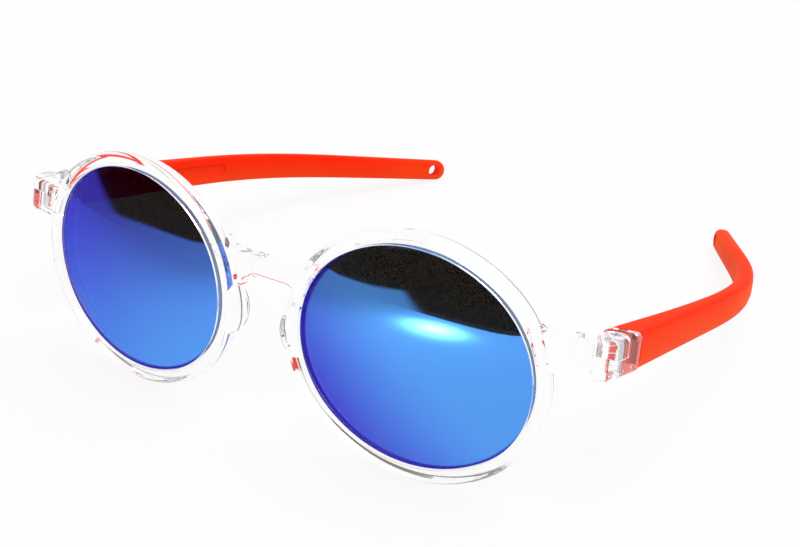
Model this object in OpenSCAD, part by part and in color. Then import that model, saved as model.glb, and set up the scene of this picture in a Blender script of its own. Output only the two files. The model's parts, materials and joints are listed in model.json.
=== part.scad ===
// Child's round sunglasses with a clear one-piece front and two folding coloured temples.
// Millimetres, +Z up. They rest on the lower rims and on the ends of the temples.

/* [Lenses] */
// Width of one lens seen from the front
lens_w = 42; // [40:0.5:45]
// Height of one lens seen from the front
lens_h = 36; // [33:0.5:38]
// Distance between the two lenses at the nose
nose_w = 17; // [15.5:0.5:19]
// Radius of the front surface of a lens
lens_curve_r = 110; // [90:1:150]
// Thickness of a lens
lens_t = 1.8; // [1.6:0.1:2]
// Angle by which each lens turns back at its outer side
wrap = 4.8; // [0:0.2:7]
// Lean of the front, top forward, against the temples
lean = 7.3; // [3:0.1:10]

/* [Rims] */
// Width of the rim around a lens, at the front
rim_w = 2.6; // [2.4:0.1:3.2]
// Width of the rim at its back
rim_back_w = 2; // [1.8:0.1:2.4]
// Depth of the rim from front to back
rim_d = 3.7; // [3.5:0.1:4.5]
// Radius of the outer front edge of the rim
rim_front_r = 0.9; // [0.4:0.1:1]
// Radius of the outer back edge of the rim
rim_back_r = 0.6; // [0.3:0.1:0.8]
// Depth of the groove that holds the lens
groove_d = 0.65; // [0.4:0.05:0.9]
// Distance from the front of the rim to the middle of the groove
groove_y = 1.55; // [1.4:0.05:1.7]

/* [Bridge] */
// Height of the bridge bar
bridge_h = 4.4; // [3:0.1:5]
// Thickness of the bridge bar
bridge_t = 3.1; // [2.6:0.1:3.6]
// Height of the underside of the bar above the lens centres
bridge_z = 4.8; // [4:0.1:7]
// Radius where the underside of the bar runs into the rims
bridge_low_r = 3; // [2:0.1:3.5]
// Radius where the top of the bar runs into the rims
bridge_top_r = 2.5; // [1.5:0.1:3]
// Radius along the edges of the bar
bridge_edge_r = 1; // [0.4:0.1:1.2]

/* [Nose pads] */
// Radius of the rounded outline of a pad seen from the front
pad_r = 5.8; // [5:0.1:7]
// Height of the middle of a pad above the lens centres
pad_z = -1; // [-3:0.1:1]
// How far a pad stands out from the rim towards the nose
pad_out = 1.4; // [0.8:0.1:2]
// Depth of a pad from front to back
pad_d = 4.4; // [3:0.1:5]
// Radius along the edges of a pad
pad_edge_r = 1.2; // [0.6:0.1:1.5]

/* [End pieces] */
// Height of the end pieces and hinge blocks
piece_h = 6.2; // [5.8:0.1:7]
// Thickness of the end pieces
piece_t = 4.2; // [4:0.1:4.6]
// Radius along their edges
piece_edge_r = 0.9; // [0.4:0.1:0.95]
// Height of their middle above the lens centres
piece_z = 7.2; // [5:0.1:8]
// Angle at which an end piece leaves the rim, backwards
piece_angle = 12; // [8:1:16]
// Centre radius of the bend at the corner
piece_bend_r = 2.3; // [2.3:0.1:2.6]

/* [Hinges] */
// Width over the outer faces of the two hinges
total_w = 122; // [120:0.5:126]
// Distance of the hinge axis behind the lens plane
hinge_y = 9.5; // [9:0.1:11]
// Radius of the hinge knuckles
knuckle_r = 2.25; // [2.1:0.05:2.5]
// Free space between the upper and the lower knuckle
seam = 0.12; // [0.1:0.01:0.2]
// Thickness of the hinge block on the temple
block_t = 5.1; // [4.8:0.1:5.4]
// Distance of the outer end of the hinge block behind the lens plane
block_end_y = 13.8; // [13.4:0.1:15]
// Slant of the end of the hinge block
block_slant = 19; // [10:1:22]
// Length of the tang that runs on inside the arm
tang_l = 22; // [14:1:26]

/* [Screws and washers] */
// Diameter of the screw shank
screw_d = 1.4; // [1.2:0.05:1.5]
// Diameter of the screw head
head_d = 2.2; // [2:0.05:2.3]
// Height of the screw head
head_h = 0.8; // [0.6:0.05:0.9]
// Outer diameter of the washer
washer_d = 3.4; // [3:0.1:3.6]
// Thickness of the washer
washer_t = 0.3; // [0.25:0.05:0.4]

/* [Temple arms] */
// Length of an arm along its outer face
arm_l = 94.3; // [88:0.5:100]
// Height of an arm at the hinge
arm_front_h = 6.32; // [6:0.1:7]
// Height of an arm at the tip
arm_tip_h = 4.33; // [4:0.1:5]
// Thickness of an arm at the hinge
arm_front_t = 5.2; // [5:0.1:5.5]
// Thickness of an arm at the tip
arm_tip_t = 2.94; // [2.7:0.05:3.2]
// Angle at which an arm leaves the hinge, inwards
arm_splay = 2.8; // [0:0.1:4]
// Further angle by which an arm bends inwards behind the ear
arm_bend = 29.9; // [20:0.5:34]
// Where the bend starts, along the arm
bend_from = 28.9; // [26:0.5:34]
// Where the bend ends, along the arm
bend_to = 74.5; // [66:0.5:80]
// Length of the shallow recess on the inner face
recess_l = 39; // [20:1:44]
// Depth of that recess
recess_d = 0.3; // [0.2:0.05:0.5]
// Diameter of the hole for a cord in the tip
cord_d = 2.6; // [2:0.1:2.8]
// Distance of the middle of that hole from the end of the arm
cord_from_end = 2.8; // [2.4:0.1:4]

/* [Clearances] */
// Free space around the edge of a lens
lens_gap = 0.06; // [0.04:0.01:0.12]
// Free space between the upper knuckle and the temple around it
knuckle_gap = 0.12; // [0.1:0.01:0.2]
// Free space between the end piece and the stop on the temple
stop_gap = 0.05; // [0.03:0.01:0.1]
// Free space around the shank in the upper knuckle, on the radius
shank_gap = 0.06; // [0.04:0.01:0.1]
// Free space around the thread in the lower knuckle, on the radius
thread_gap = 0.03; // [0.02:0.01:0.06]
// Free space around the screw head, on the radius
head_gap = 0.1; // [0.05:0.01:0.12]
// Free space on each side of a washer
washer_gap = 0.02; // [0.01:0.01:0.04]
// Free space around the tang in the arm
tang_gap = 0.06; // [0.04:0.01:0.1]
// Free space between the hinge block and the front of the arm
arm_gap = 0.05; // [0.03:0.01:0.1]

/* [Hidden] */
$fn = 96;

far = 60;
skin = 1;
lap = 0.3;
slim = 0.02;

// Lens outline: two tight end arcs and two flat arcs that meet without a corner.
lens_a = lens_w / 2;
lens_b = lens_h / 2;
join_side = [3, 4, 5];
join_over = 1;
join = atan2(join_side[1], join_side[0]);
end_x = (lens_a - lens_b) * join_side[0] / (join_side[0] + join_side[1] - join_side[2]);
end_r = lens_a - end_x;
flat_y = end_x * join_side[1] / join_side[0];
flat_r = lens_b + flat_y;
lens_x = nose_w / 2 + lens_a;

// Lens: a thin spherical shell with a wedge-shaped edge that sits in the groove.
lens_inset = 0.1;
lens_edge_y = 0.9;
lens_sag = lens_curve_r - sqrt(lens_curve_r * lens_curve_r - lens_a * lens_a);
wedge_root_h = 1.1;
wedge_tip_h = 0.5;
wedge_in = 1;

// Rim section: tangent line between the outer front and outer back edges.
rim_in_r = 0.3;
rim_in_back_r = 0.5;
rim_p = [rim_w - rim_front_r, -rim_front_r];
rim_q = [rim_back_w - rim_back_r, rim_back_r - rim_d];
rim_pq = rim_q - rim_p;
rim_turn = atan2(rim_pq[1], rim_pq[0]) + acos((rim_front_r - rim_back_r) / norm(rim_pq));
rim_core = 1.2;

// Bridge: fillets tangent to the outer circles of the rims.
bridge_top_z = bridge_z + bridge_h;
rim_cx = lens_x - end_x;
rim_out_r = end_r + rim_w;
bridge_front_y = 0.12;
low_cz = bridge_z - bridge_low_r;
low_cx = rim_cx - sqrt(pow(rim_out_r + bridge_low_r, 2) - low_cz * low_cz);
top_cz = bridge_top_z + bridge_top_r;
top_cx = rim_cx - sqrt(pow(rim_out_r + bridge_top_r, 2) - top_cz * top_cz);
bridge_low_end = low_cz * rim_out_r / (rim_out_r + bridge_low_r);
bridge_top_end = top_cz * rim_out_r / (rim_out_r + bridge_top_r);

// Nose pad.
pad_front = 0.1;

// End piece: straight bar, bend, and an inner bar that fills the corner.
out_x = total_w / 2;
hinge_x = out_x - knuckle_r;
rear_gap = 0.35;
rear_y = hinge_y - knuckle_r - rear_gap;
bend_x = out_x - piece_t / 2 - piece_bend_r;
bar_end = [bend_x + piece_bend_r * sin(piece_angle), rear_y - piece_bend_r * cos(piece_angle)];
bar_in = 2.6;
bar_l = (bar_end[0] - lens_x - lens_a + bar_in) / cos(piece_angle);
brace_angle = 26.5;
brace_t = 3;
brace_l = 10;
brace_less = 0.8;
brace_h = piece_h - brace_less;
brace_back = [1.4, 0.75];
brace_end = [bend_x, rear_y] - brace_back;
web_in = 0.3;

// Hinge heights.
head_sink = 0.1;
screw_end_gap = 0.35;
thread_from = 0.2;
piece_top = piece_z + piece_h / 2;
piece_low = piece_z - piece_h / 2;
upper_z = piece_z + seam / 2;
lower_z = piece_z - seam / 2;
seat_z = lower_z - (washer_t + 2 * washer_gap - seam);
head_seat_z = piece_top - head_h - head_sink;
screw_low = piece_low + screw_end_gap;
thread_top = seat_z - thread_from;
inner_start = 1.6;
knuckle_relief = [0.05, 0.4];
washer_seat_gap = 0.08;
washer_bore_gap = 0.05;
thread_less = 0.01;
cross_share = 0.65;
cross_w = 0.28;
cross_d = 0.35;

// Arm: outer face followed as a curve, sections set off inwards from it.
arm_start = [out_x, block_end_y + arm_gap];
arm_steps = 90;
arm_ds = arm_l / arm_steps;
arm_crown = 0.1;
inner_crown = 0.04;
arm_taper_share = 0.4;
arm_tip_r = arm_tip_h / 2;
tip_edge_r = 1.15;
arm_body_l = arm_l - arm_tip_r;
slant_fade = 8;
tang_root = 2;
tang_in = 1.1;
tang_tip_in = 0.95;
tang_t = 3;
tang_tip_t = 1.45;
tang_h = 3.6;
tang_tip_h = 2.4;
recess_from = 3;
recess_hz = 1.35;
recess_lip = 0.2;
recess_ramp = 0.6;
recess_stop = 0.15;
recess_blunt = 0.05;
inner_swell = 0.2;
outer_top_r = 0.6;
outer_low_r = 1.5;
inner_r = 1.1;
crown_share = 0.35;
flat_share = 0.3;
first_station = 1.5;
recess_stations = 12;
body_stations = 20;
corner_pts = 4;

function ease(t) = let(c = min(1, max(0, t))) c * c * (3 - 2 * c);
function mix(a, b, t) = a + (b - a) * t;
function heading(s) = arm_splay + arm_bend * ease((s - bend_from) / (bend_to - bend_from));
arm_path = [
  for (
    k = 0, x = 0, y = 0;
    k <= arm_steps;
    x = x - arm_ds * sin(heading((k + 0.5) * arm_ds)),
    y = y + arm_ds * cos(heading((k + 0.5) * arm_ds)),
    k = k + 1
  ) [k * arm_ds, x, y]
];
arm_xs = [for (p = arm_path) [p[0], p[1]]];
arm_ys = [for (p = arm_path) [p[0], p[2]]];
function arm_t(s) =
  mix(arm_tip_t, arm_front_t, pow(max(0, 1 - s / (arm_taper_share * arm_l)), 2));
function arm_half(s) = mix(arm_front_h, arm_tip_h, s / arm_body_l) / 2;

// Stance: the tilt at which the rims and the tips touch one level plane.
tip_at = [
  arm_start[0] + lookup(arm_body_l, arm_xs),
  arm_start[1] + lookup(arm_body_l, arm_ys),
  piece_z
];
tip_head = heading(arm_body_l);
function tip_reach(n, q) =
  (arm_tip_r - tip_edge_r) * n + tip_edge_r * (norm([n, q]) - q);
function low_rim(t) =
  let(g = t - lean, c = [rim_front_r * cos(wrap), flat_y])
  c[1] * cos(g) - c[0] * sin(g)
    - (flat_r + rim_w - rim_front_r) * norm([sin(wrap) * sin(g), cos(g)]) - rim_front_r + slim;
function low_tip(t) =
  tip_at[2] * cos(t) - tip_at[1] * sin(t)
    - tip_reach(norm([cos(tip_head) * sin(t), cos(t)]), sin(tip_head) * sin(t));
function settle(t, n) =
  n == 0 ? t : settle(t + (low_tip(t) - low_rim(t)) / tip_at[1] * 180 / PI, n - 1);
rest_tilt = settle(14, 8);
stand = rest_tilt - lean;
rest_z = -low_rim(rest_tilt);
front_most = rim_front_r * cos(wrap) * cos(stand) + flat_y * sin(stand)
  - (flat_r + rim_w - rim_front_r) * norm([sin(wrap) * cos(stand), sin(stand)]) - rim_front_r + slim;
back_most = tip_at[1] * cos(rest_tilt) + tip_at[2] * sin(rest_tilt)
  + tip_reach(norm([cos(tip_head) * cos(rest_tilt), sin(rest_tilt)]), sin(tip_head) * cos(rest_tilt));
rest_y = -(front_most + back_most) / 2;

// Placing. The temples lie along +Y in one frame and the front leans in it.
module in_temples() {
  translate([0, rest_y, rest_z]) rotate([-rest_tilt, 0, 0]) children();
}
module in_front() {
  in_temples() rotate([lean, 0, 0]) children();
}
module in_lens() {
  in_front() translate([lens_x, 0, 0]) rotate([90, 0, wrap]) children();
}
module on_left() {
  mirror([1, 0, 0]) children();
}
module both() {
  children();
  on_left() children();
}

// Plain helpers.
module rounded(w, h, r) {
  square([w - 2 * r, h], center = true);
  square([w, h - 2 * r], center = true);
  for (x = [r - w / 2, w / 2 - r], y = [r - h / 2, h / 2 - r]) translate([x, y]) circle(r = r);
}
module bar(from, angle, l) {
  translate([from[0], from[1], piece_z])
    rotate([0, 0, angle - 90])
      rotate([-90, 0, 0])
        linear_extrude(height = l) children();
}
module upper_half() {
  intersection() {
    children();
    translate([0, -far, upper_z]) cube([2 * far, 2 * far, far]);
  }
}
module lower_half() {
  intersection() {
    children();
    translate([0, -far, lower_z - far]) cube([2 * far, 2 * far, far]);
  }
}
module at_hinge(z) {
  translate([hinge_x, hinge_y, z]) children();
}

// Lens outline grown by e, and a section swept round the outline.
module outline(e) {
  for (x = [-end_x, end_x]) translate([x, 0]) circle(r = end_r + e);
  intersection() {
    translate([0, flat_y]) circle(r = flat_r + e);
    translate([0, -flat_y]) circle(r = flat_r + e);
    square([2 * (end_x + (end_r + e) * cos(join)), 4 * lens_b], center = true);
  }
}
module arc(c, r, from, sweep) {
  translate([c[0], c[1], 0])
    rotate([0, 0, from])
      rotate_extrude(angle = sweep) translate([r, 0]) children();
}
module round_lens(over) {
  arc([end_x, 0], end_r, -join, 2 * join) children(0);
  arc([-end_x, 0], end_r, 180 - join, 2 * join) children(0);
  arc([0, -flat_y], flat_r, join - over, 180 - 2 * join + 2 * over) children(1);
  arc([0, flat_y], flat_r, 180 + join - over, 180 - 2 * join + 2 * over) children(1);
}
module groove(gap) {
  root = wedge_root_h / 2 + gap;
  tip = wedge_tip_h / 2 + gap;
  edge = groove_d - lens_gap + gap;
  polygon([
    [-wedge_in, -groove_y - root], [0, -groove_y - root], [edge, -groove_y - tip],
    [edge, -groove_y + tip], [0, -groove_y + root], [-wedge_in, -groove_y + root]
  ]);
}

// Lens: the middle of the outline and its two ends are cut from the same shell.
module lens_ball(r) {
  translate([0, 0, lens_sag - lens_edge_y - lens_curve_r]) rotate([90, 0, 0]) sphere(r = r);
}
module post(x, y, r) {
  translate([x, y, -far / 4]) cylinder(r = r, h = far / 2);
}
module lens_shape() {
  cut_x = end_x + (end_r - lens_inset) * cos(join);
  difference() {
    intersection() {
      lens_ball(lens_curve_r);
      post(0, flat_y, flat_r - lens_inset);
      post(0, -flat_y, flat_r - lens_inset);
      translate([-cut_x, -far / 2, -far / 4]) cube([2 * cut_x, far, far / 2]);
    }
    lens_ball(lens_curve_r - lens_t);
  }
  for (k = [0, 1])
    mirror([k, 0, 0])
      difference() {
        intersection() {
          lens_ball(lens_curve_r);
          post(end_x, 0, end_r - lens_inset);
          translate([cut_x, -far / 2, -far / 4]) cube([far, far, far / 2]);
        }
        lens_ball(lens_curve_r - lens_t);
      }
  round_lens(0) {
    groove(0);
    groove(0);
  }
}

// Front.
module rim_section(less) {
  difference() {
    union() {
      polygon([
        [less, -rim_in_r],
        [rim_in_r, -less],
        [rim_p[0], -less],
        rim_p + (rim_front_r - less) * [cos(rim_turn), sin(rim_turn)],
        rim_q + (rim_back_r - less) * [cos(rim_turn), sin(rim_turn)],
        [rim_q[0], less - rim_d],
        [rim_in_back_r, less - rim_d],
        [less, rim_in_back_r - rim_d]
      ]);
      translate([rim_in_r, -rim_in_r]) circle(r = rim_in_r - less);
      translate(rim_p) circle(r = rim_front_r - less);
      translate(rim_q) circle(r = rim_back_r - less);
      translate([rim_in_back_r, rim_in_back_r - rim_d]) circle(r = rim_in_back_r - less);
    }
    groove(lens_gap + less);
  }
}
module rim() {
  in_lens()
    round_lens(join_over) {
      rim_section(0);
      rim_section(slim);
    }
}
module lens_space() {
  in_lens() translate([0, 0, -far / 2]) linear_extrude(height = far) outline(rim_core);
}
module flared(r, back) {
  e = bridge_edge_r;
  difference() {
    translate([-back, -skin]) square([r + e + back, bridge_t + 2 * skin]);
    translate([r, e]) square([2 * e, bridge_t - 2 * e]);
    for (y = [e, bridge_t - e]) translate([r + e, y]) circle(r = e);
  }
}
module bridge_cutter(cx, cz, r, side) {
  for (k = [0, 1])
    mirror([k, 0, 0])
      translate([cx, 0, cz])
        rotate([-90, 0, 0])
          rotate_extrude() flared(r, 0);
  for (k = [0, 1])
    mirror([k, 0, 0])
      translate([0, 0, cz])
        scale([1, 1, side])
          rotate([90, 0, 90])
            linear_extrude(height = cx) rotate(90) mirror([0, 1]) flared(r, r);
}
module bridge() {
  translate([0, bridge_front_y, 0])
    difference() {
      translate([-far / 4, 0, bridge_low_end])
        cube([far / 2, bridge_t, bridge_top_end - bridge_low_end]);
      bridge_cutter(low_cx, low_cz, bridge_low_r, 1);
      bridge_cutter(top_cx, top_cz, bridge_top_r, -1);
    }
}
module pad() {
  in_lens()
    translate([pad_r - lens_a - rim_w - pad_out, pad_z, -pad_front - pad_d / 2])
      rotate_extrude()
        intersection() {
          rounded(2 * pad_r, pad_d, pad_edge_r);
          translate([0, -pad_d / 2]) square([pad_r, pad_d]);
        }
}
module piece_section(less) {
  rounded(piece_t - 2 * less, piece_h - 2 * less, piece_edge_r);
}
module end_piece() {
  bar(bar_end - bar_l * [cos(piece_angle), sin(piece_angle)], piece_angle, bar_l + lap)
    piece_section(slim);
  translate([bend_x, rear_y, piece_z])
    rotate([0, 0, piece_angle - 90])
      rotate_extrude(angle = 90 - piece_angle)
        translate([piece_bend_r, 0]) piece_section(0);
  difference() {
    bar(brace_end - brace_l * [cos(brace_angle), sin(brace_angle)], brace_angle, brace_l + skin)
      rounded(brace_t, brace_h, piece_edge_r);
    translate([0, rear_y - slim, -far / 2]) cube([far * 2, far, far]);
  }
}
module knuckle() {
  at_hinge(piece_z)
    rotate_extrude()
      intersection() {
        rounded(2 * knuckle_r, piece_h, piece_edge_r);
        translate([0, -piece_h / 2]) square([knuckle_r, piece_h]);
      }
}
module upper_knuckle() {
  upper_half() {
    knuckle();
    difference() {
      bar([out_x - piece_t / 2, rear_y - lap], 90, hinge_y - rear_y + lap) piece_section(slim);
      translate([0, 0, -far / 2]) cube([out_x - piece_t + web_in, far, far]);
    }
  }
}
module front_frame() {
  color("#f4f7fa")
    difference() {
      union() {
        both() {
          rim();
          difference() {
            union() {
              pad();
              in_temples() end_piece();
            }
            lens_space();
          }
          in_temples() upper_knuckle();
        }
        difference() {
          in_front() bridge();
          both() lens_space();
        }
      }
      both()
        in_temples() {
          at_hinge(0) cylinder(r = screw_d / 2 + shank_gap, h = far);
          at_hinge(head_seat_z) cylinder(r = head_d / 2 + head_gap, h = far);
        }
    }
}

// Hinge block of a temple.
module block_cutter() {
  x = hinge_x;
  y = hinge_y;
  in_x = out_x - block_t;
  translate([0, 0, -far / 2])
    linear_extrude(height = far)
      polygon([
        [0, 0], [x, 0], [x, y], [x - knuckle_r + knuckle_relief[0], y + knuckle_relief[1]],
        [in_x, y + inner_start], [0, y + inner_start]
      ]);
}
module upper_cutter() {
  translate([0, 0, lower_z]) cube([2 * far, hinge_y, far]);
  translate([0, 0, lower_z]) cube([hinge_x, hinge_y + inner_start, far]);
  at_hinge(lower_z) cylinder(r = knuckle_r + knuckle_gap, h = far);
}
module tang(gap) {
  translate([arm_start[0], arm_start[1], piece_z])
    rotate([0, 0, arm_splay])
      intersection() {
        translate([0, 0, -far / 2])
          linear_extrude(height = far)
            polygon([
              [gap - tang_in, -tang_root], [gap - tang_tip_in, tang_l + gap],
              [-tang_tip_in - tang_tip_t - gap, tang_l + gap], [-tang_in - tang_t - gap, -tang_root]
            ]);
        rotate([0, -90, 0])
          linear_extrude(height = far)
            polygon([
              [-tang_h / 2 - gap, -tang_root], [-tang_tip_h / 2 - gap, tang_l + gap],
              [tang_tip_h / 2 + gap, tang_l + gap], [tang_h / 2 + gap, -tang_root]
            ]);
      }
}
module temple_hinge_shape() {
  difference() {
    union() {
      difference() {
        bar([out_x - block_t / 2, rear_y + stop_gap], 90, block_end_y - rear_y)
          rounded(block_t, piece_h, piece_edge_r);
        block_cutter();
        translate([out_x, block_end_y, -far / 2])
          rotate([0, 0, block_slant]) translate([-far, 0, 0]) cube([2 * far, far, far]);
      }
      lower_half() knuckle();
      tang(0);
    }
    upper_cutter();
    at_hinge(seat_z) cylinder(r = washer_d / 2 + washer_seat_gap, h = far);
    at_hinge(0) cylinder(r = screw_d / 2 - thread_less + thread_gap, h = far);
  }
}

// Screw and washer.
module screw_shape() {
  head_low = head_seat_z + washer_gap;
  difference() {
    union() {
      at_hinge(head_low) cylinder(r = head_d / 2, h = head_h);
      at_hinge(thread_top) cylinder(r = screw_d / 2, h = head_low - thread_top + lap);
      at_hinge(screw_low) cylinder(r = screw_d / 2 - thread_less, h = thread_top - screw_low + lap);
    }
    at_hinge(head_low + head_h)
      for (a = [0, 90]) rotate([0, 0, a]) cube([head_d * cross_share, cross_w, 2 * cross_d], center = true);
  }
}
module washer_shape() {
  difference() {
    at_hinge(seat_z + washer_gap) cylinder(d = washer_d, h = washer_t);
    at_hinge(0) cylinder(r = screw_d / 2 + washer_bore_gap, h = far);
  }
}

// Arm: one ring of points per station, all with the same number of points.
function arm_point(s, along, a, z) =
  let(h = heading(s))
  [
    arm_start[0] + lookup(s, arm_xs) - along * sin(h) - a * cos(h),
    arm_start[1] + lookup(s, arm_ys) + along * cos(h) - a * sin(h),
    piece_z + z
  ];
function corner(ca, cz, r, from, to) = [
  for (k = [0:corner_pts]) let(f = mix(from, to, k / corner_pts)) [ca + r * cos(f), cz + r * sin(f)]
];
function recess_half(s) =
  let(u = (s - (recess_l - recess_hz)) / recess_hz)
  u <= 0 ? recess_hz : recess_hz * sqrt(max(recess_blunt, 1 - u * u));
function recess_depth(s) =
  recess_d * max(
    -inner_swell,
    min(1, (s - recess_from) / recess_ramp, (recess_l + recess_stop - s) / recess_stop)
  );
function section(s) =
  let(
    t = arm_t(s), ti = t + inner_crown, h = arm_half(s), u = s / arm_l,
    rt = mix(outer_top_r, tip_edge_r, u), ri = mix(inner_r, tip_edge_r, u),
    rb = mix(outer_low_r, tip_edge_r, u),
    dr = recess_depth(s), hr = dr > 0 ? recess_half(s) : flat_share * min(recess_hz, h)
  )
  concat(
    [[-arm_crown, h * crown_share]],
    corner(rt, h - rt, rt, 180, 90),
    corner(t - ri, h - ri, ri, 90, 0),
    [[ti, hr + recess_lip], [ti - dr, hr], [ti - dr, -hr], [ti, -hr - recess_lip]],
    corner(t - ri, ri - h, ri, 0, -90),
    corner(rb, rb - h, rb, -90, -180),
    [[-arm_crown, -h * crown_share]]
  );
function body_ring(s) =
  let(f = max(0, 1 - s / slant_fade) * tan(block_slant - arm_splay))
  [for (p = section(s)) arm_point(s, -p[0] * f, p[0], p[1])];
function tip_ring(f) = [
  for (p = section(arm_body_l))
    arm_point(arm_body_l, abs(p[1]) * sin(f), p[0], p[1] * cos(f))
];
arm_stations = concat(
  [0, first_station, recess_from, recess_from + recess_ramp],
  [
    for (k = [1:recess_stations])
      mix(recess_from + recess_ramp, recess_l - recess_hz, k / recess_stations)
  ],
  [for (f = [25, 50, 75]) recess_l - recess_hz + recess_hz * sin(f)],
  [recess_l + recess_stop],
  [for (k = [1:body_stations]) mix(recess_l + recess_stop, arm_body_l, k / body_stations)]
);
arm_rings = concat(
  [for (s = arm_stations) body_ring(s)],
  [for (f = [15:12:87]) tip_ring(f)]
);
module arm_sweep() {
  n = len(arm_rings);
  m = len(arm_rings[0]);
  walls = [
    for (k = [0:n - 2], i = [0:m - 1])
      let(j = (i + 1) % m, a = k * m, b = a + m)
      each [[a + i, a + j, b + j], [a + i, b + j, b + i]]
  ];
  ends = [
    for (i = [0:m / 2 - 2])
      let(p = i, q = i + 1, r = m - 2 - i, s = m - 1 - i, e = (n - 1) * m)
      each [[s, r, q], [s, q, p], [e + p, e + q, e + r], [e + p, e + r, e + s]]
  ];
  polyhedron(points = [for (r = arm_rings) each r], faces = concat(walls, ends));
}
module cord_hole() {
  s = arm_l - cord_from_end;
  h = heading(s);
  c = arm_point(s, 0, arm_tip_t / 2, 0);
  translate(c) rotate([0, 0, h]) rotate([0, 90, 0]) cylinder(d = cord_d, h = far / 4, center = true);
}
module temple_arm_shape() {
  difference() {
    arm_sweep();
    tang(tang_gap);
    cord_hole();
  }
}

module lens_right() {
  color("#1f5fc8") in_lens() lens_shape();
}
module lens_left() {
  color("#1f5fc8") on_left() in_lens() lens_shape();
}
module temple_hinge_right() {
  color("#f4f7fa") in_temples() temple_hinge_shape();
}
module temple_hinge_left() {
  color("#f4f7fa") on_left() in_temples() temple_hinge_shape();
}
module temple_arm_right() {
  color("#fa3c14") in_temples() temple_arm_shape();
}
module temple_arm_left() {
  color("#fa3c14") on_left() in_temples() temple_arm_shape();
}
module hinge_screw_right() {
  color("#a8abb0") in_temples() screw_shape();
}
module hinge_screw_left() {
  color("#a8abb0") on_left() in_temples() screw_shape();
}
module hinge_washer_right() {
  color("#c4c7cb") in_temples() washer_shape();
}
module hinge_washer_left() {
  color("#c4c7cb") on_left() in_temples() washer_shape();
}

front_frame();
lens_left();
lens_right();
temple_hinge_left();
temple_hinge_right();
temple_arm_left();
temple_arm_right();
hinge_screw_left();
hinge_screw_right();
hinge_washer_left();
hinge_washer_right();
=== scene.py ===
import json
import math

import bpy
from mathutils import Matrix, Vector


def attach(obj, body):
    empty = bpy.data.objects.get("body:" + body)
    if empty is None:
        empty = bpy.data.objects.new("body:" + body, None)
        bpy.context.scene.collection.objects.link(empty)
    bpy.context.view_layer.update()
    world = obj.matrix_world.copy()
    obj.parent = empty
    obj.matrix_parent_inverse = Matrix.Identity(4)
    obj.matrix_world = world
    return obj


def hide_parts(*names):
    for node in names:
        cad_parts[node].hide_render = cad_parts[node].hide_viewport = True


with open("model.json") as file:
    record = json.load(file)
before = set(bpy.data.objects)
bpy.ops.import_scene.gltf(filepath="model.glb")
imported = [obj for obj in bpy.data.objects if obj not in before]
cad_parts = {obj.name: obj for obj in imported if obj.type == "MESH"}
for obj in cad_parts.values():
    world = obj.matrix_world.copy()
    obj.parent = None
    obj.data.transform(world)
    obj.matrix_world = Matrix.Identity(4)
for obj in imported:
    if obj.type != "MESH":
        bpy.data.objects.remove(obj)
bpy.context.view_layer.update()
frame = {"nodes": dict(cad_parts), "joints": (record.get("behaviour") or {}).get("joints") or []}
nodes = frame["nodes"]
mm = 0.001
print("frame loaded:", len(nodes), "nodes")


# Shader maths: a wrapped socket, so that an expression adds its own Math nodes
class Wire:
    def __init__(self, tree, socket):
        self.tree = tree
        self.socket = socket

    def maths(self, operation, *values):
        return addNode(self.tree, "ShaderNodeMath", {"operation": operation}, dict(enumerate(values)))

    def __add__(self, other):
        return self.maths("ADD", self, other)

    def __radd__(self, other):
        return self.maths("ADD", other, self)

    def __sub__(self, other):
        return self.maths("SUBTRACT", self, other)

    def __rsub__(self, other):
        return self.maths("SUBTRACT", other, self)

    def __mul__(self, other):
        return self.maths("MULTIPLY", self, other)

    def __rmul__(self, other):
        return self.maths("MULTIPLY", other, self)

    def __truediv__(self, other):
        return self.maths("DIVIDE", self, other)

    def __rtruediv__(self, other):
        return self.maths("DIVIDE", other, self)

    def __pow__(self, other):
        return self.maths("POWER", self, other)

    def __rpow__(self, other):
        return self.maths("POWER", other, self)

    def __lt__(self, other):
        return self.maths("LESS_THAN", self, other)

    def __gt__(self, other):
        return self.maths("GREATER_THAN", self, other)

    def sign(self):
        return self.maths("SIGN", self)

    def atLeast(self, least):
        return self.maths("MAXIMUM", self, least)

    def clamp(self):
        return addNode(self.tree, "ShaderNodeClamp", {}, {0: self})

    def ramp(self, low, high):
        settings = {"interpolation_type": "SMOOTHSTEP"}
        return addNode(self.tree, "ShaderNodeMapRange", settings, {0: self, 1: low, 2: high})

    def between(self, low, high):
        return low + (high - low) * self


def addNode(tree, kind, settings, values, output=0):
    node = tree.nodes.new(kind)
    for name, value in settings.items():
        setattr(node, name, value)
    for key, value in values.items():
        if isinstance(value, Wire):
            tree.links.new(value.socket, node.inputs[key])
        else:
            node.inputs[key].default_value = value
    return Wire(tree, node.outputs[output])


def newMaterial(name):
    material = bpy.data.materials.new(name)
    material.use_nodes = True
    tree = material.node_tree
    tree.nodes.clear()
    return material, tree


def setSurface(tree, shader):
    out = tree.nodes.new("ShaderNodeOutputMaterial")
    tree.links.new(shader.socket, out.inputs["Surface"])


def principled(tree, **values):
    sockets = {name.replace("_", " "): value for name, value in values.items()}
    return addNode(tree, "ShaderNodeBsdfPrincipled", {}, sockets)


def transparent(tree, colour):
    return addNode(tree, "ShaderNodeBsdfTransparent", {}, {0: (*colour, 1)})


def glow(tree, colour, strength):
    return addNode(tree, "ShaderNodeEmission", {}, {"Color": (*colour, 1), "Strength": strength})


def mixShader(tree, factor, first, second):
    return addNode(tree, "ShaderNodeMixShader", {}, {0: factor, 1: first, 2: second})


def mixColour(tree, factor, first, second):
    values = {"Factor": factor, 6: (*first, 1), 7: (*second, 1)}
    return addNode(tree, "ShaderNodeMix", {"data_type": "RGBA"}, values, output=2)


def objectPlace(tree):
    return addNode(tree, "ShaderNodeTexCoord", {}, {}, output="Object")


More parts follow.
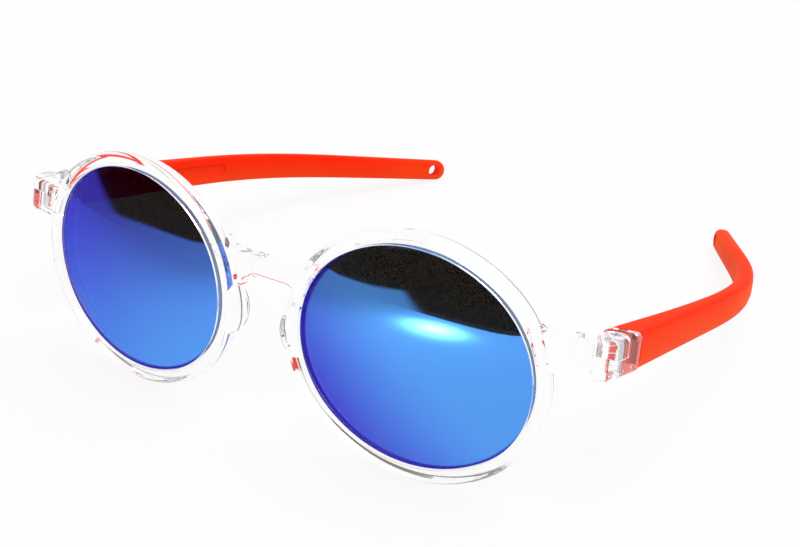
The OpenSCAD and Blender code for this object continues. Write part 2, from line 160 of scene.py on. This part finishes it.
def split(tree, vector, axis):
    return addNode(tree, "ShaderNodeSeparateXYZ", {}, {0: vector}, output=axis)


def turned(tree, vector, axis, centre, degrees):
    values = {"Vector": vector, "Center": centre, "Angle": math.radians(degrees)}
    return addNode(tree, "ShaderNodeVectorRotate", {"rotation_type": axis}, values)


def noise(tree, place, size, detail=2.0):
    return addNode(tree, "ShaderNodeTexNoise", {}, {"Vector": place, "Scale": 1 / size, "Detail": detail})


def bump(tree, height, depth):
    return addNode(tree, "ShaderNodeBump", {}, {"Height": height, "Distance": depth})


def ray(tree, kind):
    return addNode(tree, "ShaderNodeLightPath", {}, {}, output=kind)


# Finishes
clearLook = {
    "tint": (0.992, 0.996, 1.0),
    "roughness": 0.0,
    "frontIor": 1.37,  # plastic has about 1.5, which darkens the rims
    "hingeIor": 1.5,
    "waveSize": 0.004,
    "waveDepth": 0.000004,
    "mostBounces": 6.5,
    "mostEchoes": 3.5,
}


def clearPlastic(name, ior):
    look = clearLook
    material, tree = newMaterial(name)
    wave = noise(tree, objectPlace(tree), look["waveSize"])
    clear = principled(
        tree,
        Base_Color=(*look["tint"], 1),
        Roughness=look["roughness"],
        IOR=ior,
        Transmission_Weight=1.0,
        Normal=bump(tree, wave, look["waveDepth"]),
    )
    # soft light, and light caught between the walls, pass straight through
    soft = ray(tree, "Is Shadow Ray") + ray(tree, "Is Diffuse Ray")
    caught = (ray(tree, "Ray Depth") > look["mostBounces"]) + (ray(tree, "Glossy Depth") > look["mostEchoes"])
    setSurface(tree, mixShader(tree, (soft + caught).clamp(), clear, transparent(tree, look["tint"])))
    return material


lensLook = {
    "azure": (0.085, 0.345, 0.94),
    "violet": (0.055, 0.045, 0.66),
    "rimBlue": (0.016, 0.010, 0.42),
    "edge": (0.55, 0.65, 1.0),
    "smoke": (0.010, 0.009, 0.008),
    "seeThrough": (1.0, 0.90, 0.74),
    "frontShare": 0.12,
    "backShare": 0.36,
    "frontRoughness": 0.02,
    "backRoughness": 0.04,
    "backIor": 1.5,
    "filmSize": 0.03,
    "filmShare": 0.1,
    "turn": (0.08, 0.88),  # where the film turns from azure to violet
    "even": (0.027, -6.5),  # its shift across both lenses alike
    "odd": (0.074, 9.1, 18.7),  # and its shift the other way on the other lens
    "half": (0.0210, 0.0180),
    "centre": (0.0295, -0.04853, 0.02053),
    "lean": 7.43,
    "wrap": 4.8,
    "ringShift": (0.0008, 0.0005),
    "ring": (0.965, 0.990),
    "seatShift": (-0.0002, -0.00015),
    "seat": (1.010, 1.018),
}


def mirrorLens():
    look = lensLook
    material, tree = newMaterial("mirrorLens")
    place = objectPlace(tree)
    film = noise(tree, place, look["filmSize"], detail=1.0)

    # both lenses as the left one, laid flat
    placeX = split(tree, place, "X")
    side = placeX.sign()
    parts = {0: placeX * side, 1: split(tree, place, "Y"), 2: split(tree, place, "Z")}
    level = addNode(tree, "ShaderNodeCombineXYZ", {}, parts)
    upright = turned(tree, level, "X_AXIS", look["centre"], look["lean"])
    flat = turned(tree, upright, "Z_AXIS", look["centre"], -look["wrap"])
    across = split(tree, flat, "X") - look["centre"][0]
    up = split(tree, flat, "Z") - look["centre"][2]

    def reach(shiftX, shiftZ):
        partX = (across - shiftX) / look["half"][0]
        partZ = (up - shiftZ) / look["half"][1]
        return (partX * partX + partZ * partZ) ** 0.5

    facing = addNode(tree, "ShaderNodeLayerWeight", {}, {"Blend": 0.5}, output="Facing")
    even = across * look["even"][1] + look["even"][0]
    odd = across * look["odd"][1] + up * look["odd"][2] + look["odd"][0]
    shift = (facing + even - side * odd + (film - 0.5) * look["filmShare"]).ramp(*look["turn"])
    ring = reach(side * look["ringShift"][0], look["ringShift"][1]).ramp(*look["ring"])
    azure, violet, rimBlue = (
        principled(
            tree,
            Base_Color=(*look[name], 1),
            Metallic=1.0,
            Roughness=look["frontRoughness"],
            Specular_Tint=(*look["edge"], 1),
        )
        for name in ("azure", "violet", "rimBlue")
    )
    mirror = mixShader(tree, ring, mixShader(tree, shift, azure, violet), rimBlue)
    through = transparent(tree, look["seeThrough"])
    front = mixShader(tree, look["frontShare"], mirror, through)
    smoke = principled(
        tree, Base_Color=(*look["smoke"], 1), Roughness=look["backRoughness"], IOR=look["backIor"]
    )
    back = mixShader(tree, look["backShare"], smoke, through)
    normal = addNode(tree, "ShaderNodeTexCoord", {}, {}, output="Normal")
    isBack = split(tree, normal, "Y") > 0.0  # the film is on the front alone
    body = mixShader(tree, isBack, front, back)
    seat = reach(side * look["seatShift"][0], look["seatShift"][1]).ramp(*look["seat"])
    setSurface(tree, mixShader(tree, seat, body, transparent(tree, (1, 1, 1))))
    return material


armLook = {
    # deep is the arm's own orange; light is a paler orange laid on as painted light, towards the lower edge and
    # the tip
    "deep": (0.97, 0.006, 0.0002),
    "light": (1.0, 0.16, 0.030),
    "pivot": (-0.037509, 0.02508),
    "up": (0.254293, 0.967127),
    "paintedBounceFade": (-0.014, 0.005),
    "paintedBounceFadeNoise": (0.02, 0.002),
    "paintedTipLightFade": (0.066, 0.092),
    "paintedTipLightShare": 0.14,
    "roughness": (0.44, 0.54),
    "roughnessSize": 0.006,
    "ior": 1.48,
    "gloss": 0.010,
    "sheen": 0.45,
    "sheenRoughness": 0.5,
    "sheenTint": (1.0, 0.30, 0.10),
    "grainSize": 0.00035,
    "grainDepth": 0.000006,
}


def satinOrange():
    look = armLook
    material, tree = newMaterial("satinOrange")
    place = objectPlace(tree)
    backY = split(tree, place, "Y") - look["pivot"][0]
    upZ = split(tree, place, "Z") - look["pivot"][1]
    # painted bounce light: the orange turns to the paler light colour towards the arm's lower edge, along a
    # noisy border
    paintedBounceWobbleSize, paintedBounceWobbleDepth = look["paintedBounceFadeNoise"]
    height = backY * look["up"][0] + upZ * look["up"][1] + (noise(tree, place, paintedBounceWobbleSize) - 0.5) * paintedBounceWobbleDepth
    along = backY * look["up"][1] - upZ * look["up"][0]
    # painted light: the arm turns paler towards its tip as well
    deepShare = height.ramp(*look["paintedBounceFade"]) * (1 - along.ramp(*look["paintedTipLightFade"]) * look["paintedTipLightShare"])
    grain = noise(tree, place, look["grainSize"], detail=3.0)
    satin = principled(
        tree,
        Base_Color=mixColour(tree, deepShare, look["light"], look["deep"]),
        Roughness=noise(tree, place, look["roughnessSize"]).between(*look["roughness"]),
        IOR=look["ior"],
        Specular_IOR_Level=look["gloss"],
        Sheen_Weight=look["sheen"],
        Sheen_Roughness=look["sheenRoughness"],
        Sheen_Tint=(*look["sheenTint"], 1),
        Normal=bump(tree, grain, look["grainDepth"]),
    )
    setSurface(tree, satin)
    return material


steelLook = {
    "dark": (0.50, 0.51, 0.53),
    "light": (0.80, 0.81, 0.83),
    "roughness": (0.22, 0.40),
    "grainSize": 0.0003,
    "grainDepth": 0.000004,
}


def brushedSteel(name):
    look = steelLook
    material, tree = newMaterial(name)
    grain = noise(tree, objectPlace(tree), look["grainSize"], detail=3.0)
    steel = principled(
        tree,
        Base_Color=mixColour(tree, grain, look["dark"], look["light"]),
        Metallic=1.0,
        Roughness=grain.between(*look["roughness"]),
        Normal=bump(tree, grain, look["grainDepth"]),
    )
    setSurface(tree, steel)
    return material


clearFront = clearPlastic("clearFront", clearLook["frontIor"])
clearHinge = clearPlastic("clearHinge", clearLook["hingeIor"])
mirror = mirrorLens()
orange = satinOrange()
screwSteel = brushedSteel("screwSteel")
washerSteel = brushedSteel("washerSteel")
print("finishes made")


# Pieces
def deselect():
    bpy.ops.object.select_all(action="DESELECT")


def editOn():
    bpy.ops.object.mode_set(mode="EDIT")


def editOff():
    bpy.ops.object.mode_set(mode="OBJECT")


def selectAll():
    bpy.ops.mesh.select_all(action="SELECT")


def applyAll(piece):
    bpy.context.view_layer.objects.active = piece
    for modifier in list(piece.modifiers):
        bpy.ops.object.modifier_apply(modifier=modifier.name)


def smoothBy(degrees):
    bpy.ops.object.shade_smooth_by_angle(angle=math.radians(degrees))


def finishOf(piece, material):
    piece.data.materials.clear()
    piece.data.materials.append(material)


screwShape = {  # in mm
    "low": -2.75,
    "pointHigh": 0.12,
    "pointShare": 0.8,
    "threadTop": -0.48,
    "shoulderHigh": 0.06,
    "headLow": 2.22,
    "headTop": 3.02,
    "core": 0.56,
    "shank": 0.70,
    "head": 1.10,
    "headEdge": 0.16,
    "edgeRound": (0.6, 0.35),
    "sides": 48,
    "cross": (1.40, 0.26, 0.50),
    "crossTurn": {"right": 20, "left": 65},
    "tilt": -14.7317,
    "thread": 0.69,
    "pitch": 0.30,
    "ridge": 0.20,
    "ridgeSunk": 0.03,
    "runOut": 0.35,
    "threadSteps": 32,
    "smoothAngle": 32,
}


def stepUp(height, widen):
    bpy.ops.mesh.extrude_region_move(TRANSFORM_OT_translate={"value": (0, 0, height * mm)})
    if widen != 1:
        bpy.ops.transform.resize(value=(widen, widen, 1))


def screwBody():
    look = screwShape
    edgeHigh, edgeIn = look["edgeRound"]
    steps = (
        (look["pointHigh"], 1 / look["pointShare"]),
        (look["threadTop"] - look["low"] - look["pointHigh"], 1),
        (look["shoulderHigh"], look["shank"] / look["core"]),
        (look["headLow"] - look["threadTop"] - look["shoulderHigh"], 1),
        (0, look["head"] / look["shank"]),
        (look["headTop"] - look["headLow"] - look["headEdge"], 1),
        (look["headEdge"] * edgeHigh, 1 - edgeIn * look["headEdge"] / look["head"]),
        (look["headEdge"] * (1 - edgeHigh), 1 - look["headEdge"] / look["head"]),
    )
    deselect()
    bpy.ops.mesh.primitive_circle_add(
        vertices=look["sides"],
        radius=look["core"] * mm * look["pointShare"],
        fill_type="NGON",
        location=(0, 0, look["low"] * mm),
    )
    body = bpy.context.active_object
    bpy.ops.object.transform_apply(location=True)
    editOn()
    selectAll()
    for height, widen in steps:
        stepUp(height, widen)
    selectAll()
    bpy.ops.mesh.normals_make_consistent(inside=False)
    editOff()
    for turn in (0, 90):
        deselect()
        bpy.ops.mesh.primitive_cube_add(
            size=mm,
            location=(0, 0, look["headTop"] * mm),
            rotation=(0, 0, math.radians(turn)),
            scale=look["cross"],
        )
        cutter = bpy.context.active_object
        cut = body.modifiers.new("cross", "BOOLEAN")
        cut.operation, cut.solver, cut.object = "DIFFERENCE", "EXACT", cutter
        applyAll(body)
        bpy.data.objects.remove(cutter)
    return body


def screwThread():
    look = screwShape
    deselect()
    bpy.ops.mesh.primitive_circle_add(vertices=3, radius=look["ridge"] / 2 * mm)
    ridge = bpy.context.active_object
    inner, outer = (look["core"] - look["ridgeSunk"]) * mm, look["thread"] * mm
    foot = (look["low"] + look["pointHigh"]) * mm
    corners = ((inner, 0.0), (outer, look["ridge"] / 2), (inner, look["ridge"]))
    for vertex, (reach, height) in zip(ridge.data.vertices, corners):
        vertex.co = (reach, 0, foot + height * mm)
    winding = ridge.modifiers.new("winding", "SCREW")
    winding.axis, winding.angle, winding.screw_offset = "Z", math.tau, look["pitch"] * mm
    winding.iterations = int((look["threadTop"] - look["low"] - look["runOut"]) / look["pitch"])
    winding.steps = winding.render_steps = look["threadSteps"]
    winding.use_normal_calculate = True
    applyAll(ridge)
    editOn()
    selectAll()
    bpy.ops.mesh.fill_holes(sides=4)
    bpy.ops.mesh.normals_make_consistent(inside=False)
    editOff()
    return ridge


def hingeScrew(side):
    body, ridge = screwBody(), screwThread()
    deselect()
    ridge.select_set(True)
    body.select_set(True)
    bpy.context.view_layer.objects.active = body
    bpy.ops.object.join()
    smoothBy(screwShape["smoothAngle"])
    body.name = f"hinge_screw_{side}_threaded"
    joint = next(j for j in frame["joints"] if j["child"] == f"temple_{side}")
    lean = Matrix.Rotation(math.radians(screwShape["tilt"]), 4, "X")
    spin = Matrix.Rotation(math.radians(screwShape["crossTurn"][side]), 4, "Z")
    body.data.transform(Matrix.Translation(joint["pos_m"]) @ lean @ spin)
    finishOf(body, screwSteel)
    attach(body, f"temple_{side}")
    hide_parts(f"hinge_screw_{side}")


hingeScrew("right")
hingeScrew("left")
print("screws threaded")

for node, material in (
    ("front_frame", clearFront),
    ("lens_left", mirror),
    ("lens_right", mirror),
    ("temple_hinge_left", clearHinge),
    ("temple_hinge_right", clearHinge),
    ("hinge_washer_left", washerSteel),
    ("hinge_washer_right", washerSteel),
):
    finishOf(nodes[node], material)

armMesh = {"merge": 0.000002, "smoothAngle": 28}


def smoothArm(side):
    deselect()
    solid = nodes[f"temple_arm_{side}"]
    arm = solid.copy()
    arm.data = solid.data.copy()
    arm.name = f"temple_arm_{side}_smooth"
    arm.parent = None
    for key in [key for key in arm.keys() if key.startswith("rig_")]:
        del arm[key]
    bpy.context.scene.collection.objects.link(arm)
    arm.select_set(True)
    bpy.context.view_layer.objects.active = arm
    bpy.ops.mesh.customdata_custom_splitnormals_clear()
    editOn()
    selectAll()
    bpy.ops.mesh.remove_doubles(threshold=armMesh["merge"])
    editOff()
    smoothBy(armMesh["smoothAngle"])
    finishOf(arm, orange)
    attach(arm, f"temple_{side}")
    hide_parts(f"temple_arm_{side}")


smoothArm("left")
smoothArm("right")
print("arms smoothed")


# Camera, as the photograph was taken
shot = {
    "place": (0.156946, -0.217425, 0.141605),
    "turn": (63.31825, 2.25564, 36.12942),
    "lens": 71.4585,
    "sensor": 36.0,
    "nearest": 0.01,
}
camera = bpy.data.objects.new("camera", bpy.data.cameras.new("camera"))
bpy.context.scene.collection.objects.link(camera)
camera.location = shot["place"]
camera.rotation_euler = [math.radians(a) for a in shot["turn"]]
camera.data.lens = shot["lens"]
camera.data.sensor_width = shot["sensor"]
camera.data.clip_start = shot["nearest"]
bpy.context.scene.camera = camera


# Stage
def seesWhite(tree):
    return (ray(tree, "Is Camera Ray") + ray(tree, "Is Glossy Ray") + ray(tree, "Is Transmission Ray")).clamp()


# The clear plastic's reflections are sharp, and the lenses' aren't
def fromLens(tree):
    isSoft = 1 - ray(tree, "Is Singular Ray")
    return ray(tree, "Is Glossy Ray") * isSoft * (ray(tree, "Transmission Depth") < 0.5)


def over(value, soft):
    return value.ramp(-soft, soft)


paintedReflectionLook = {
    "poolAt": (-0.016, -0.204),
    "poolSize": (0.0175, 0.0255),
    "poolStrength": 10.0,
    "haloSize": (0.055, 0.085),
    "haloStrength": 0.33,
    "dark": 0.006,
    "dim": 0.42,
    "dimLeft": (0.020, 0.090),
    "dimFront": (0.050, 0.165),
    "edgeY": -0.265,
    "edgeBend": (-0.020, 5.7),
    "edgeSoft": 0.002,
    "beyond": 0.55,
    "beyondFrom": (-0.055, 0.56),
    "beyondSoft": 0.014,
    "leftAt": -0.198,
    "leftTurn": (0.190, 0.330, 0.055),
    "leftSlope": (-0.158, -0.205, 0.38),
    "leftSoft": 0.016,
}


# Painted reflection for the lenses: the table glows, only where the lenses mirror it, with the table up to its
# front edge, a paler surface beyond it, painted darkness round both, and a painted pool of light
def paintedTableReflection(tree):
    look = paintedReflectionLook
    place = objectPlace(tree)
    atX, atY = split(tree, place, "X"), split(tree, place, "Y")

    def spot(size):
        awayX = (atX - look["poolAt"][0]) / size[0]
        awayY = (atY - look["poolAt"][1]) / size[1]
        return math.e ** (0 - (awayX * awayX + awayY * awayY))

    bendFrom, bend = look["edgeBend"]
    bent = (bendFrom - atX).atLeast(0.0)
    onTable = over(atY - look["edgeY"] - bend * bent * bent, look["edgeSoft"])
    # painted shade: the mirrored table is dimmer towards its left and front
    onTable = onTable * (1 - look["dim"] * (0 - atX).ramp(*look["dimLeft"]) * (0 - atY).ramp(*look["dimFront"]))
    beyondX, beyondTurn = look["beyondFrom"]
    beyond = over(beyondX - beyondTurn * (look["edgeY"] - atY) - atX, look["beyondSoft"])
    turnFrom, turnTo, turnBy = look["leftTurn"]
    leftX = look["leftAt"] + turnBy * (0 - atY).ramp(turnFrom, turnTo)
    slopeY, slopeX, slope = look["leftSlope"]
    slant = slopeY + slope * (atX - slopeX)
    outside = over(leftX - atX, look["leftSoft"]) * over(slant - atY, look["leftSoft"])
    white = onTable.atLeast(beyond * look["beyond"]) * (1 - outside)
    # painted pool of light and its halo, glowing on the table
    shine = 1 + spot(look["poolSize"]) * look["poolStrength"] + spot(look["haloSize"]) * look["haloStrength"]
    return (white * shine).atLeast(look["dark"])


tableLook = {"size": 6.0, "colour": (0.88, 0.88, 0.89), "glow": 0.86}


def tableFinish():
    material, tree = newMaterial("table")
    inLens = fromLens(tree)
    plain = addNode(tree, "ShaderNodeBsdfDiffuse", {}, {"Color": (*tableLook["colour"], 1)})
    # the table's glow carries the painted reflection only for rays from the lenses
    lit = glow(tree, (1, 1, 1), 1 + inLens * (paintedTableReflection(tree) - 1))
    share = (seesWhite(tree) * tableLook["glow"]).atLeast(inLens)
    setSurface(tree, mixShader(tree, share, plain, lit))
    return material


deselect()
bpy.ops.mesh.primitive_plane_add(size=tableLook["size"])
table = bpy.context.active_object
table.name = "table"
finishOf(table, tableFinish())

# The dark side of the room, which only the lenses mirror
cardShape = {
    "centre": (0.015, -0.050),
    "radius": 0.70,
    "height": 0.40,
    "sides": 180,
    "from": -154.5,
    "to": -28.0,
    "colour": (0.003, 0.003, 0.003),
}


def cardFinish():
    material, tree = newMaterial("darkCard")
    black = glow(tree, cardShape["colour"], 1.0)
    setSurface(tree, mixShader(tree, fromLens(tree), transparent(tree, (1, 1, 1)), black))
    return material


deselect()
bpy.ops.mesh.primitive_cylinder_add(
    vertices=cardShape["sides"],
    radius=cardShape["radius"],
    depth=cardShape["height"],
    end_fill_type="NOTHING",
    location=(*cardShape["centre"], cardShape["height"] / 2),
)
card = bpy.context.active_object
card.name = "darkCard"
bpy.ops.object.transform_apply(location=True)
editOn()
bpy.ops.mesh.select_mode(type="FACE")
bpy.ops.mesh.select_all(action="DESELECT")
editOff()
centre = Vector((*cardShape["centre"], 0))
for face in card.data.polygons:
    away = face.center - centre
    angle = math.degrees(math.atan2(away.y, away.x))
    face.select = not cardShape["from"] <= angle <= cardShape["to"]
editOn()
bpy.ops.mesh.delete(type="FACE")
editOff()
finishOf(card, cardFinish())
card.visible_camera = False
card.visible_diffuse = False
card.visible_shadow = False

lightLook = {"sky": 0.78, "lampPower": 2.2, "lampSize": 0.5, "lampAt": (0.25, 0.1, 0.7)}

world = bpy.data.worlds.new("sky")
bpy.context.scene.world = world
world.use_nodes = True
tree = world.node_tree
tree.nodes.clear()
strength = seesWhite(tree).between(lightLook["sky"], 1)
sky = addNode(tree, "ShaderNodeBackground", {}, {"Color": (1, 1, 1, 1), "Strength": strength})
out = tree.nodes.new("ShaderNodeOutputWorld")
tree.links.new(sky.socket, out.inputs["Surface"])

lamp = bpy.data.objects.new("softLamp", bpy.data.lights.new("softLamp", "AREA"))
bpy.context.scene.collection.objects.link(lamp)
lamp.data.shape = "DISK"
lamp.data.size = lightLook["lampSize"]
lamp.data.energy = lightLook["lampPower"]
lamp.location = lightLook["lampAt"]
lamp.rotation_euler = Vector(lightLook["lampAt"]).to_track_quat("Z", "Y").to_euler()

bpy.context.scene.view_settings.view_transform = "Standard"
print("stage set")
